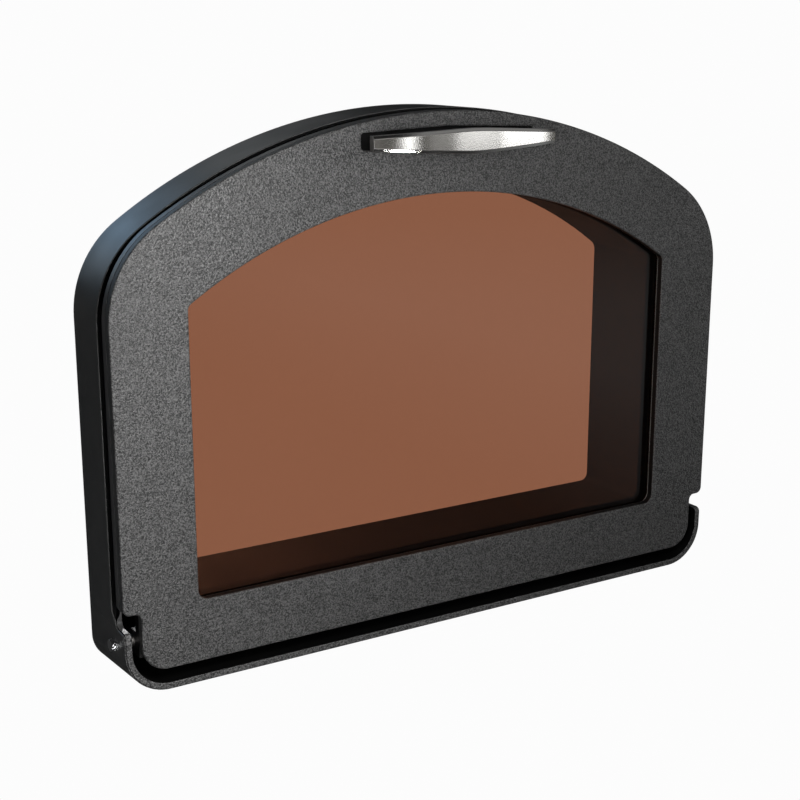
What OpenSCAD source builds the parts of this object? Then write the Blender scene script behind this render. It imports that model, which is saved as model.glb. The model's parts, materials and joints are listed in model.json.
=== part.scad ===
// Drop-down glazed door for a masonry pizza oven, with its arched frame.
// X runs across the door, Y runs from the front into the oven, Z is up.
// The origin is the centre of the tray's flat underside.
// Depths in the modules are measured from the face of the closed door.

/* [Frame] */
// Overall width of the frame and of the door's wide part
frame_width = 600; // [560:1:660]
// Height of the crown of the door above the tray's underside
frame_height = 447.6; // [440:0.1:460]
// How much higher the crown of the band stands than the door's
band_rise = 1.7; // [0:0.1:3]
// Depth of the frame from the tray's lip to the back edge
frame_depth = 78; // [70:0.5:100]
// Radius of the door's arch
arch_radius = 476; // [450:1:520]
// Radius of the outside of the band's arch, a little rounder than the door's
band_arch_radius = 457; // [445:1:480]
// Radius of the outside of each shoulder
shoulder_radius = 88; // [70:1:100]
// Thickness of the band and of the tray
band_thickness = 6; // [4:0.5:7]
// Depth at which the arched band starts behind the door's face
band_setback = 19.5; // [18:0.5:24]
// Thickness of the flange that the door's rope closes on
flange_thickness = 5; // [3:0.5:8]
// Lowest height of the flange's side legs
flange_leg_foot = 70; // [64:1:90]
// Distance from the frame's outside to the end of the flange's lower strip
flange_strip_margin = 32; // [31:0.5:38]
// Height of the lower edge of the flange's strip
flange_strip_foot = 39.5; // [38:0.5:45]
// Rounding at the foot of each leg of the flange
flange_leg_radius = 2; // [1:0.5:4]

/* [Tray] */
// Height of the tray's side walls
tray_height = 54; // [48:0.5:58]
// Outside radius of the tray's corners at the lip
tray_corner_front = 37.5; // [34:0.5:38]
// Outside radius of the tray's corners at the back edge
tray_corner_back = 27; // [20:1:34]
// Rounding of the side wall's front top corner
tray_nose_radius = 4.5; // [2:0.5:8]
// Rounding where the side wall runs into the band
tray_heel_radius = 5; // [1:0.5:8]
// Thickness of the plate that closes the tray's back
tray_back_thickness = 6; // [3:0.5:8]

/* [Throat] */
// Distance from the frame's outside to the side of the throat
throat_side_margin = 65; // [60:0.5:80]
// Height of the throat's floor
throat_floor = 67; // [66:0.5:72]
// Distance from the frame's crown down to the throat's crown
throat_crown_margin = 61; // [56:0.5:75]
// Radius of the throat's arch
throat_arch_radius = 392; // [380:1:440]
// Radius of the throat's upper corners
throat_shoulder_radius = 10; // [4:1:30]
// Radius of the throat's lower corners
throat_foot_radius = 7.5; // [4:0.5:20]
// Wall of the throat's sleeve
throat_wall = 5; // [3:0.5:5]
// How far the sleeve reaches behind the frame
throat_reach = 22; // [10:1:60]

/* [Fixing ears] */
// Thickness of the fixing ears
ear_thickness = 5; // [3:0.5:8]
// Height of each fixing ear
ear_height = 34; // [24:1:44]
// Height of the lower pair's holes
ear_low = 112; // [100:1:130]
// Distance from the frame's crown down to the upper pair's holes
ear_crown_margin = 175.6; // [172:0.2:200]
// Diameter of the fixing holes
ear_hole = 9; // [6:0.5:11]

/* [Door plate] */
// Thickness of the door plate
door_thickness = 8; // [6:0.5:8]
// Height of the bottom of the plate's wide part
door_step = 69; // [66:1:74]
// Gap between the narrow part of the plate and the outside of the frame
door_side_inset = 14.6; // [14.4:0.2:18]
// Height of the plate's bottom edge
door_foot = 18; // [17:0.5:24]
// Radius of the plate's bottom corners
door_foot_radius = 22; // [20:1:30]
// Rounding under the ends of the wide part
step_corner_radius = 6; // [3:0.5:7]
// Rounding between the narrow and the wide part
step_fillet_radius = 5; // [2:0.5:6]
// Width of the rim welded behind the plate's edge
rim_width = 6; // [4:0.5:7]
// Depth of that rim
rim_depth = 6.5; // [4:0.5:8]

/* [Window] */
// Distance from the frame's outside to the side of the window
window_side_margin = 63.7; // [60:0.1:70]
// Height of the window's sill
window_sill = 70; // [69:0.5:76]
// Distance from the frame's crown down to the window's crown
window_crown_margin = 66.8; // [66.4:0.2:80]
// Radius of the window's arch
window_arch_radius = 419.4; // [400:0.2:440]
// Radius of the window's upper corners
window_shoulder_radius = 6; // [2:0.5:10]
// Radius of the window's lower corners
window_foot_radius = 8.5; // [2:0.5:12]
// Thickness of the ceramic glass
glass_thickness = 4; // [3:0.5:5]
// Overlap of the glass behind the plate
glass_overlap = 10; // [6:0.5:10]
// Thickness of the tape between glass and plate
gasket_thickness = 1.5; // [0.5:0.25:2]
// Width of that tape
gasket_width = 8; // [4:0.5:9]

/* [Glass clips] */
// Width of a glass clip
clip_width = 22; // [14:1:30]
// Thickness of a clip's sheet
clip_sheet = 1.2; // [0.8:0.1:1.3]
// Length of a clip's foot on the door plate
clip_foot = 9.5; // [8.5:0.25:9.5]
// Reach of a clip over the glass
clip_reach = 5; // [4:0.5:9]
// Distance of the side clips from the window's corners
side_clip_margin = 50; // [30:1:80]
// Distance from a clip's riser to its screw
clip_screw_offset = 5.6; // [5.5:0.1:5.7]
// Depth of the clip screws in the door plate
clip_screw_depth = 5; // [3:0.5:6]
// Distance of the sill clips from the middle
sill_clip_offset = 130; // [60:1:180]
// Angle of the arch clips from the vertical
arch_clip_angle = 16; // [14:1:24]
// Diameter of the clip screws
clip_screw = 4; // [3:0.5:4]
// Diameter of the clip screws' heads
clip_head = 7.6; // [6:0.2:7.8]
// Height of the clip screws' heads
clip_head_height = 2.2; // [2:0.1:3]
// Width across the flats of the clip screws' sockets
clip_socket = 2.5; // [2:0.5:3]

/* [Rope] */
// Distance from the window's side to the middle of the rope
rope_side_offset = 29.7; // [28:0.1:30]
// Distance from the window's crown to the middle of the rope
rope_crown_offset = 26.2; // [25.8:0.1:26.4]
// Distance from the window's sill down to the middle of the rope
rope_sill_offset = 26; // [26:0.5:27]
// Radius of the rope's shoulders
rope_shoulder_radius = 54; // [40:1:60]
// Radius of the rope's lower corners
rope_foot_radius = 22; // [14:1:40]

/* [Handle] */
// Length of the handle
handle_length = 176; // [150:1:184]
// Height of the handle at its middle
handle_height = 20.5; // [18:0.5:24]
// Height of the handle at its ends
handle_end_height = 12; // [9:0.2:16]
// Thickness of the handle
handle_thickness = 6; // [5:0.5:8]
// Width of the chamfer along the handle's front edges
handle_chamfer = 2.5; // [1:0.25:2.5]
// Depth of that chamfer
handle_chamfer_depth = 1.8; // [0.6:0.1:2.4]
// How far the middle of the handle stands off the door's face
handle_standoff = 38; // [28:0.5:42]
// How much further the middle stands out than the ends
handle_bow = 12.5; // [6:0.5:14]
// Distance from the frame's crown down to the middle line of the handle
handle_crown_margin = 22.4; // [21:0.2:23]
// Distance between the two posts
post_spacing = 110; // [90:1:120]
// Diameter of the posts
post_diameter = 11; // [9:0.5:12]
// Diameter of the handle's screws
post_screw = 6; // [5:0.5:6]
// Diameter of the heads of the handle's screws
post_head = 10.5; // [9:0.5:12]
// Height of the heads of the handle's screws
post_head_height = 3.3; // [3:0.1:4]
// Width across the flats of the handle screws' sockets
post_socket = 4; // [3:0.5:4]
// Depth of the screws in the posts
post_screw_depth = 16; // [10:1:20]

/* [Handle slot] */
// Length of the slot behind the handle
slot_length = 168.8; // [150:0.2:176]
// Height of the slot at its ends
slot_end_height = 13.5; // [12:0.5:14]
// Extra height of the slot at its middle, above and below
slot_peak = 3.4; // [1:0.2:3.6]
// Rounding of the slot's corners
slot_corner_radius = 3; // [1:0.5:4]
// Thickness of the plate that closes the slot behind
slot_plate_thickness = 3; // [2:0.5:4]
// Length of that plate
slot_plate_length = 210; // [204:1:216]
// Depth of that plate's edge below the slot's lowest point
slot_plate_lap = 2.6; // [1.5:0.1:2.6]
// Distance between the two studs that hold that plate
stud_spacing = 192; // [188:1:198]
// Diameter of the studs
stud_diameter = 5; // [4:0.5:5]
// Width across the flats of the stud nuts
stud_nut_flats = 8; // [7:0.5:8]
// Height of the stud nuts
stud_nut_height = 3; // [2:0.5:4]
// How far the studs stand out of their nuts
stud_proud = 1; // [0.5:0.5:3]
// Distance of the studs below the handle's middle line
stud_drop = 4; // [2.6:0.2:5.6]

/* [Pivots] */
// Depth of the pivot axis behind the door's face
pivot_depth = 22.5; // [22:0.5:23]
// Height of the pivot axis
pivot_height = 39; // [39:0.5:40]
// Diameter of the pivot bolts
pivot_bolt = 6; // [5:0.5:6]
// Width across the flats of the pivot bolts and nuts
pivot_flats = 10; // [9:0.5:11]
// Height of the pivot bolts' heads
pivot_head_height = 4.6; // [3:0.2:6]
// Length of the pivot bolts under the head
pivot_bolt_length = 28; // [27:0.5:28.5]
// Height of the pivot nuts
pivot_nut_height = 5; // [4:0.5:6]
// Thickness of the washers between lug and nut
pivot_washer_thickness = 1; // [0.8:0.1:1.5]
// Outside diameter of the washers
pivot_washer = 12; // [10:0.5:14]
// Outside diameter of the spacers between lug and tray wall
pivot_spacer = 9.6; // [8:0.2:10]
// Thickness of the door's hinge lugs
lug_thickness = 6; // [4:0.5:6]
// Radius of the round end of a hinge lug
lug_radius = 10; // [8:0.5:12]
// Height of a hinge lug up the back of the door
lug_height = 46; // [30:1:60]

/* [Fits] */
// Radial clearance of bolts and screws in their holes
bolt_clearance = 0.05; // [0.02:0.01:0.1]
// Gap between soft or loose pieces and their seats
seat_gap = 0.3; // [0.2:0.05:0.5]
// Room between the glass and the clips' risers, whose inner bends are as round
glass_room = 0.5; // [0.3:0.1:0.6]

/* [Hidden] */
$fn = 96;
// Sides of the large circles that the arches come from
arch_facets = 360;
// Steps round each lower corner of the tray
corner_steps = 12;
// Steps along each of the rope's tight bends, and sides of its section
rope_steps = 8;
rope_sides = 12;
// Sections along the handle
handle_stations = 48;
// How far a cut reaches past what it cuts
over = 1;

// Places and sizes that follow from the ones above
half_width = frame_width / 2;
front_y = -frame_depth / 2;
door_half = half_width - door_side_inset;
throat_half = half_width - throat_side_margin;
throat_crown = frame_height - throat_crown_margin;
window_half = half_width - window_side_margin;
window_crown = frame_height - window_crown_margin;
ear_high = frame_height - ear_crown_margin;
handle_line = frame_height - handle_crown_margin;
stud_line = handle_line - stud_drop;
flange_strip_half = half_width - flange_strip_margin;
inner_half = half_width - band_thickness;
arch_centre = frame_height - arch_radius;
sleeve_back = frame_depth + throat_reach;
flange_back = band_setback + flange_thickness;
glass_front = door_thickness + gasket_thickness;
glass_back = glass_front + glass_thickness;
clip_back = glass_back + clip_sheet;
rim_back = door_thickness + rim_depth;
rope_radius = (band_setback - seat_gap - door_thickness) / 2; // fills the gap behind the door
rope_depth = door_thickness + rope_radius;
hole_growth = 2 * bolt_clearance;
clip_rise = gasket_thickness + glass_thickness;
clip_bend = clip_sheet + glass_room;
bow_radius = (pow(handle_length / 2, 2) + pow(handle_bow, 2)) / (2 * handle_bow);
bow_centre = bow_radius - handle_standoff;

// Colours
painted = [0.13, 0.13, 0.135];
bare_steel = [0.75, 0.75, 0.74];
smoked = [0.55, 0.37, 0.27, 0.6];
fibre = [0.80, 0.77, 0.70];
tape = [0.86, 0.85, 0.82];

// A solid from a front view, between two depths behind the door's face
module slab(near, far) {
    translate([0, front_y + far, 0]) rotate([90, 0, 0]) linear_extrude(far - near) children();
}

// Both a shape and its mirror image across the middle of the door
module both_sides() {
    children();
    mirror([1, 0, 0]) children();
}

// What rounds an outside corner at a point takes off, in a front view
module corner_cut(at, radius, side, up) {
    translate(at - [side * radius, up * radius]) difference() {
        mirror([side < 0 ? 1 : 0, 0]) mirror([0, up < 0 ? 1 : 0]) square(radius + over);
        circle(radius);
    }
}

// What fills an inside corner at the origin, up to a tangent arc
module corner_fillet(radius) {
    difference() {
        square(radius);
        translate([radius, radius]) circle(radius);
    }
}

// Height of a shoulder's centre, so that it runs smoothly into the arch
function shoulder_height(half, crown, arch, shoulder) =
    crown - arch + sqrt(pow(arch - shoulder, 2) - pow(half - shoulder, 2));

// What a shoulder takes off between the side and the arch
module shoulder_cut(half, crown, arch, shoulder) {
    centre = [half - shoulder, shoulder_height(half, crown, arch, shoulder)];
    away = centre - [0, crown - arch];
    beyond = [0, crown - arch] + away / norm(away) * (arch + over);
    difference() {
        polygon([
            centre, [half + over, centre[1]], [half + over, beyond[1] + over],
            [beyond[0], beyond[1] + over], beyond
        ]);
        translate(centre) circle(shoulder);
    }
}

// Front view of an arched opening or plate with straight sides; a foot radius of 0 leaves it square
module arched_outline(half, foot, crown, arch, shoulder, foot_radius) {
    difference() {
        intersection() {
            translate([0, crown - arch]) circle(arch, $fn = arch_facets);
            translate([-half, foot]) square([2 * half, crown - foot + over]);
        }
        both_sides() shoulder_cut(half, crown, arch, shoulder);
        if (foot_radius > 0) both_sides() corner_cut([half, foot], foot_radius, 1, -1);
    }
}

// The band's outline, drawn in by an amount
module band_outline(inset, foot, foot_radius) {
    arched_outline(half_width - inset, foot, frame_height + band_rise - inset, band_arch_radius - inset,
        shoulder_radius - inset, foot_radius);
}

// The outline of the door's wide part, drawn in by an amount
module wide_outline(inset, foot, foot_radius) {
    arched_outline(half_width - inset, foot, frame_height - inset, arch_radius - inset,
        shoulder_radius - inset, foot_radius);
}

// The opening into the oven, let out by an amount
module throat_outline(grow) {
    arched_outline(throat_half + grow, throat_floor - grow, throat_crown + grow,
        throat_arch_radius + grow, throat_shoulder_radius + grow, throat_foot_radius + grow);
}

// The window in the door, let out by an amount
module window_outline(grow) {
    arched_outline(window_half + grow, window_sill - grow, window_crown + grow,
        window_arch_radius + grow, window_shoulder_radius + grow, window_foot_radius + grow);
}

// Sets what is drawn along Z on the pivot axis, starting at a distance from the middle
module on_pivot(inside) {
    translate([inside, front_y + pivot_depth, pivot_height]) rotate([0, 90, 0]) children();
}

// A round pin or hole on the pivot axis, on the right
module pivot_rod(diameter, inside, outside) {
    on_pivot(inside) cylinder(h = outside - inside, d = diameter);
}

// Sets what is drawn along Z square to the door, pointing into the oven
module on_door(x, z, depth) {
    translate([x, front_y + depth, z]) rotate([-90, 0, 0]) children();
}

// A round pin or hole square to the door, between two depths
module door_rod(x, z, diameter, near, far) {
    translate([x, front_y + far, z]) rotate([90, 0, 0]) cylinder(h = far - near, d = diameter);
}

// Plain hexagonal bar
module hexagon(flats, height) {
    cylinder(h = height, d = flats / cos(30), $fn = 6);
}

// Hexagonal bar whose far end is turned to a 30 degree chamfer that starts just inside the flats
module chamfered_hexagon(flats, height) {
    face = 0.95 * flats;
    intersection() {
        hexagon(flats, height);
        cylinder(h = height, d1 = face + 2 * height / tan(30), d2 = face);
    }
}

// Domed screw head with a hexagon socket as deep as half its height
module button_head(diameter, height, socket) {
    dome = (pow(diameter / 2, 2) + pow(height, 2)) / (2 * height);
    difference() {
        intersection() {
            cylinder(h = height, d = diameter);
            translate([0, 0, height - dome]) sphere(dome);
        }
        translate([0, 0, height / 2]) hexagon(socket, height);
    }
}

// Front view of the tray at one depth: a box with two rounded lower corners
function tray_ring(inset, depth, top) =
    let (radius = tray_corner_front + (tray_corner_back - tray_corner_front) * depth / frame_depth - inset,
        edge = half_width - inset)
    [for (p = concat(
        [for (i = [0 : corner_steps]) let (a = i * 90 / corner_steps - 90)
            [edge - radius + radius * cos(a), inset + radius + radius * sin(a)]],
        [[edge, top], [-edge, top]],
        [for (i = [0 : corner_steps]) let (a = i * 90 / corner_steps + 180)
            [radius - edge + radius * cos(a), inset + radius + radius * sin(a)]]))
        [p[0], front_y + depth, p[1]]];

// Body of the tray, drawn in by an amount, with corners that tighten to the back
module tray_form(inset, near, far, top) {
    count = 2 * corner_steps + 4;
    sides = [for (k = [0 : count - 1]) [k, (k + 1) % count, count + (k + 1) % count, count + k]];
    front = [for (k = [count - 1 : -1 : 0]) k];
    back = [for (k = [0 : count - 1]) count + k];
    points = concat(tray_ring(inset, near, top), tray_ring(inset, far, top));
    polyhedron(points, concat(sides, [front, back]));
}

// Rolled flat bar over the arch, widened below into the tray that the door drops into
module surround_band() color(painted) {
    difference() {
        union() {
            slab(band_setback, frame_depth) band_outline(0, tray_height - 2 * over, 0);
            tray_form(0, 0, frame_depth, tray_height);
            both_sides() tray_heel();
        }
        slab(-over, frame_depth + over)
            band_outline(band_thickness, tray_height - 3 * over, 0);
        tray_form(band_thickness, -over, frame_depth + over, tray_height + over);
        both_sides() tray_nose();
        both_sides() pivot_rod(pivot_bolt + hole_growth, inner_half - over, half_width + over);
    }
}

// Fillet where a side wall of the tray meets the front edge of the band
module tray_heel() {
    translate([inner_half, front_y + band_setback - tray_heel_radius, tray_height]) difference() {
        cube([band_thickness, tray_heel_radius, tray_heel_radius]);
        translate([-over, 0, tray_heel_radius]) rotate([0, 90, 0])
            cylinder(h = band_thickness + 2 * over, r = tray_heel_radius);
    }
}

// What rounds the front top corner of a side wall of the tray
module tray_nose() {
    translate([inner_half - over, front_y, tray_height - tray_nose_radius]) difference() {
        translate([0, -over, 0])
            cube([band_thickness + 2 * over, tray_nose_radius + over, tray_nose_radius + over]);
        translate([-over, tray_nose_radius, 0]) rotate([0, 90, 0])
            cylinder(h = band_thickness + 4 * over, r = tray_nose_radius);
    }
}

// Flat ring that the rope closes on, cut short at the foot to leave the hinge lugs room
module front_flange() color(painted) {
    slab(band_setback, flange_back) difference() {
        union() {
            band_outline(band_thickness, flange_leg_foot, flange_leg_radius);
            translate([-flange_strip_half, flange_strip_foot])
                square([2 * flange_strip_half, flange_leg_foot + over - flange_strip_foot]);
        }
        throat_outline(throat_wall);
    }
}

// Short tunnel that reaches into the oven's mouth
module throat_sleeve() color(painted) {
    slab(band_setback, sleeve_back) difference() {
        throat_outline(throat_wall);
        throat_outline(0);
    }
}

// Plate that closes the back of the tray under the throat
module tray_back_plate() color(painted) {
    top = throat_floor - throat_wall;
    slab(frame_depth - tray_back_thickness, frame_depth) difference() {
        translate([-inner_half, band_thickness]) square([2 * inner_half, top - band_thickness]);
        both_sides() corner_cut([inner_half, band_thickness], tray_corner_back, 1, -1);
    }
}

// Four ears behind the frame for the screws into the masonry
module fixing_ears() color(painted) {
    inside = throat_half + throat_wall;
    both_sides() for (z = [ear_low, ear_high]) difference() {
        slab(frame_depth - ear_thickness, frame_depth) translate([inside, z - ear_height / 2])
            square([inner_half - inside, ear_height]);
        door_rod((inside + inner_half) / 2, z, ear_hole, frame_depth - ear_thickness - over,
            frame_depth + over);
    }
}

// Bolts that the door swings on, with their heads outside the tray
module pivot_bolts() color(bare_steel) both_sides() {
    on_pivot(half_width) chamfered_hexagon(pivot_flats, pivot_head_height);
    pivot_rod(pivot_bolt, half_width - pivot_bolt_length, half_width + over);
}

// Each bolt carries, from the tray's wall inwards, a spacer, the door's lug, a washer and a nut
module pivot_spacers() color(bare_steel) both_sides() difference() {
    pivot_rod(pivot_spacer, door_half, inner_half - seat_gap);
    pivot_rod(pivot_bolt + hole_growth, door_half - over, inner_half + over);
}

module pivot_washers() color(bare_steel) both_sides() difference() {
    outside = door_half - lug_thickness;
    pivot_rod(pivot_washer, outside - pivot_washer_thickness, outside);
    pivot_rod(pivot_bolt + hole_growth, outside - pivot_washer_thickness - over, outside + over);
}

module pivot_nuts() color(bare_steel) both_sides() difference() {
    outside = door_half - lug_thickness - pivot_washer_thickness;
    on_pivot(outside) mirror([0, 0, 1]) chamfered_hexagon(pivot_flats, pivot_nut_height);
    pivot_rod(pivot_bolt + hole_growth, outside - pivot_nut_height - over, outside + over);
}

// The door's plate: arched above the step, narrower below it to drop between the tray's walls
module door_outline() {
    wide_outline(0, door_step, step_corner_radius);
    difference() {
        translate([-door_half, door_foot]) square([2 * door_half, door_step + over - door_foot]);
        both_sides() corner_cut([door_half, door_foot], door_foot_radius, 1, -1);
    }
    both_sides() translate([door_half, door_step]) mirror([0, 1]) corner_fillet(step_fillet_radius);
}

// Slot behind the handle: higher in the middle than at its ends
module slot_outline() {
    end = slot_length / 2;
    low = slot_end_height / 2;
    peak = low + slot_peak;
    translate([0, handle_line]) difference() {
        polygon([[-end, -low], [0, -peak], [end, -low], [end, low], [0, peak], [-end, low]]);
        both_sides() for (up = [-1, 1]) corner_cut([end, up * low], slot_corner_radius, 1, up);
    }
}

// Front plate with its window, its slot and tapped holes for the clips
module door_plate() color(painted) {
    difference() {
        slab(0, door_thickness) difference() {
            door_outline();
            window_outline(0);
            slot_outline();
        }
        clip_places() clip_screw_rod(clip_screw + hole_growth);
    }
}

// Bar welded behind the edge of the plate's wide part
module door_rim() color(painted) {
    slab(door_thickness, rim_back) difference() {
        wide_outline(0, door_step, step_corner_radius);
        wide_outline(rim_width, door_step - over, 0);
    }
}

// Hinge lug on the right of the door, standing square to the plate's back
module hinge_lug() {
    outside = door_half;
    foot = pivot_height - lug_radius;
    difference() {
        union() {
            pivot_rod(2 * lug_radius, outside - lug_thickness, outside);
            translate([outside - lug_thickness, front_y + door_thickness, foot])
                cube([lug_thickness, pivot_depth - door_thickness, 2 * lug_radius]);
            translate([outside - lug_thickness, front_y + door_thickness, foot])
                cube([lug_thickness, rim_depth, lug_height]);
        }
        pivot_rod(pivot_bolt + hole_growth, outside - lug_thickness - over, outside + over);
    }
}

module hinge_lug_right() color(painted) hinge_lug();

module hinge_lug_left() color(painted) mirror([1, 0, 0]) hinge_lug();

// Flat tape between the plate and the glass
module glass_gasket() color(tape) {
    slab(door_thickness, glass_front) difference() {
        window_outline(glass_overlap);
        window_outline(glass_overlap - gasket_width);
    }
}

// Ceramic glass, as large as the tape
module glass_pane() color(smoked) {
    slab(glass_front, glass_back) window_outline(glass_overlap);
}

// Sets a clip drawn upwards from the glass's edge at each place round the window
module clip_places() {
    reach = window_half + glass_overlap + glass_room;
    corner = shoulder_height(window_half, window_crown, window_arch_radius, window_shoulder_radius);
    sill = window_sill - glass_overlap - glass_room;
    arch_middle = window_crown - window_arch_radius;
    for (side = [-1, 1]) {
        for (z = [window_sill + side_clip_margin, corner - side_clip_margin])
            translate([side * reach, 0, z]) rotate([0, side * 90, 0]) children();
        translate([side * sill_clip_offset, 0, sill]) rotate([0, 180, 0]) children();
        translate([0, 0, arch_middle]) rotate([0, side * arch_clip_angle, 0])
            translate([0, 0, window_arch_radius + glass_overlap + glass_room]) children();
    }
}

// A clip screw's shank or its hole
module clip_screw_rod(diameter) {
    door_rod(0, clip_screw_offset, diameter, door_thickness - clip_screw_depth,
        door_thickness + clip_sheet + over);
}

// Side view of a clip: foot on the plate, riser past the glass's edge, and a leg over the glass
module clip_section() {
    difference() {
        union() {
            square([clip_sheet, clip_foot]);
            square([clip_rise + clip_sheet, clip_sheet]);
            translate([clip_rise, -clip_reach]) square([clip_sheet, clip_reach + clip_sheet]);
            translate([clip_sheet, clip_sheet]) corner_fillet(glass_room);
            translate([clip_rise, 0]) rotate(180) corner_fillet(glass_room);
        }
        corner_cut([0, 0], clip_bend, -1, -1);
        corner_cut([clip_rise + clip_sheet, clip_sheet], clip_bend, 1, 1);
    }
}

module glass_clip() {
    difference() {
        translate([-clip_width / 2, front_y + door_thickness, 0]) rotate([90, 0, 90])
            linear_extrude(clip_width) clip_section();
        clip_screw_rod(clip_screw + hole_growth);
    }
}

// Eight bent clips that hold the glass against the tape
module glass_clips() color(bare_steel) clip_places() glass_clip();

module clip_screws() color(bare_steel) clip_places() {
    on_door(0, clip_screw_offset, door_thickness + clip_sheet)
        button_head(clip_head, clip_head_height, clip_socket);
    clip_screw_rod(clip_screw);
}

// Faces between rings of points, each ring with as many corners; a loop closes on its first ring
function tube_skin(rings, corners, loop) =
    [for (i = [0 : rings - (loop ? 1 : 2)]) for (k = [0 : corners - 1])
        let (next = (i + 1) % rings, turned = (k + 1) % corners)
        [i * corners + k, next * corners + k, next * corners + turned, i * corners + turned]];

// Stations of the rope along one round stretch: place and outward direction
function rope_arc(centre, radius, from, to, steps) = [for (i = [0 : steps])
    let (a = from + (to - from) * i / steps) [centre + radius * [cos(a), sin(a)], a]];

// Round rope laid behind the door: arch, shoulder, side and foot, all the way round
module rope_seal() color(fibre) {
    half = window_half + rope_side_offset;
    foot = window_sill - rope_sill_offset;
    crown = window_crown + rope_crown_offset;
    arch = window_arch_radius + rope_crown_offset;
    centre = [half - rope_shoulder_radius, shoulder_height(half, crown, arch, rope_shoulder_radius)];
    turn = atan2(centre[1] - crown + arch, centre[0]);
    corner = [half - rope_foot_radius, foot + rope_foot_radius];
    over_arch = rope_arc([0, crown - arch], arch, turn, 180 - turn, 4 * rope_steps);
    route = concat(
        rope_arc(corner, rope_foot_radius, -90, 0, rope_steps),
        rope_arc(centre, rope_shoulder_radius, 0, turn, rope_steps),
        [for (s = over_arch) if (s[1] > turn && s[1] < 180 - turn) s],
        rope_arc([-centre[0], centre[1]], rope_shoulder_radius, 180 - turn, 180, rope_steps),
        rope_arc([-corner[0], corner[1]], rope_foot_radius, 180, 270, rope_steps));
    half_side = 180 / rope_sides;
    reach = rope_radius / cos(half_side);
    points = [for (s = route) for (k = [0 : rope_sides - 1])
        let (a = (2 * k + 1) * half_side, out = reach * cos(a))
        [s[0][0] + out * cos(s[1]), front_y + rope_depth + reach * sin(a), s[0][1] + out * sin(s[1])]];
    polyhedron(points, tube_skin(len(route), rope_sides, true));
}

// Half height of the handle at a distance from its middle, along a flat arc
function handle_half_height(x) =
    let (rise = (handle_height - handle_end_height) / 2,
        leaf = (pow(handle_length / 2, 2) + pow(rise, 2)) / (2 * rise))
    handle_height / 2 - leaf + sqrt(pow(leaf, 2) - pow(x, 2));

// Depth of the handle's face or back at a distance from its middle
function handle_depth(x, inward) = bow_centre - sqrt(pow(bow_radius - inward, 2) - pow(x, 2));

// Corners of the handle's section at a distance from its middle, with both front edges chamfered
function handle_section(x) =
    let (high = handle_half_height(x),
        low_cut = high - handle_chamfer,
        face = handle_depth(x, 0),
        bevel = face + handle_chamfer_depth,
        rear = handle_depth(x, handle_thickness),
        half = [[face, low_cut], [bevel, high], [rear, high]])
    [for (p = concat(half, [for (i = [2 : -1 : 0]) [half[i][0], -half[i][1]]]))
        [x, front_y + p[0], handle_line + p[1]]];

// Bowed bar, highest in the middle, made by joining its sections
module handle_bar() color(bare_steel) {
    sections = [for (i = [0 : handle_stations])
        handle_section((i / handle_stations - 0.5) * handle_length)];
    corners = len(sections[0]);
    first = [for (k = [corners - 1 : -1 : 0]) k];
    last = [for (k = [0 : corners - 1]) handle_stations * corners + k];
    skin = [for (f = tube_skin(handle_stations + 1, corners, false)) [f[0], f[3], f[2], f[1]]];
    polyhedron([for (s = sections) each s], concat(skin, [first, last]));
}

// Posts from the closing plate through the slot to the back of the handle, whose curve they meet
module handle_posts() color(bare_steel) both_sides() difference() {
    intersection() {
        door_rod(post_spacing / 2, handle_line, post_diameter, -handle_standoff, door_thickness);
        translate([0, front_y + bow_centre, handle_line - post_diameter])
            cylinder(h = 2 * post_diameter, r = bow_radius - handle_thickness, $fn = arch_facets);
    }
    door_rod(post_spacing / 2, handle_line, post_screw + hole_growth,
        door_thickness - post_screw_depth - over, door_thickness + over);
}

// Screws through the closing plate into the posts
module handle_screws() color(bare_steel) both_sides() {
    seat = door_thickness + slot_plate_thickness;
    on_door(post_spacing / 2, handle_line, seat) button_head(post_head, post_head_height, post_socket);
    door_rod(post_spacing / 2, handle_line, post_screw, door_thickness - post_screw_depth, seat + over);
}

// Plate that closes the slot from behind and carries the handle
module slot_plate() color(painted) {
    foot = handle_line - slot_end_height / 2 - slot_peak - slot_plate_lap;
    difference() {
        slab(door_thickness, door_thickness + slot_plate_thickness) intersection() {
            translate([-slot_plate_length / 2, foot])
                square([slot_plate_length, frame_height - foot]);
            wide_outline(rim_width + seat_gap, foot - over, 0);
        }
        both_sides() door_rod(post_spacing / 2, handle_line, post_screw + hole_growth,
            door_thickness - over, door_thickness + slot_plate_thickness + over);
        both_sides() door_rod(stud_spacing / 2, stud_line, stud_diameter + hole_growth,
            door_thickness - over, door_thickness + slot_plate_thickness + over);
    }
}

// Studs welded to the back of the door plate
module slot_plate_studs() color(bare_steel) both_sides()
    door_rod(stud_spacing / 2, stud_line, stud_diameter, door_thickness,
        door_thickness + slot_plate_thickness + stud_nut_height + stud_proud);

module slot_plate_nuts() color(bare_steel) both_sides() difference() {
    seat = door_thickness + slot_plate_thickness;
    on_door(stud_spacing / 2, stud_line, seat) chamfered_hexagon(stud_nut_flats, stud_nut_height);
    door_rod(stud_spacing / 2, stud_line, stud_diameter + hole_growth, seat - over,
        seat + stud_nut_height + over);
}

surround_band();
front_flange();
throat_sleeve();
tray_back_plate();
fixing_ears();
pivot_bolts();
pivot_spacers();
pivot_washers();
pivot_nuts();
door_plate();
door_rim();
hinge_lug_left();
hinge_lug_right();
glass_gasket();
glass_pane();
glass_clips();
clip_screws();
rope_seal();
handle_bar();
handle_posts();
handle_screws();
slot_plate();
slot_plate_studs();
slot_plate_nuts();
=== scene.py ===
import json
import math
import bpy
import numpy as np
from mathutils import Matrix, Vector
from mathutils.geometry import tessellate_polygon


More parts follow.
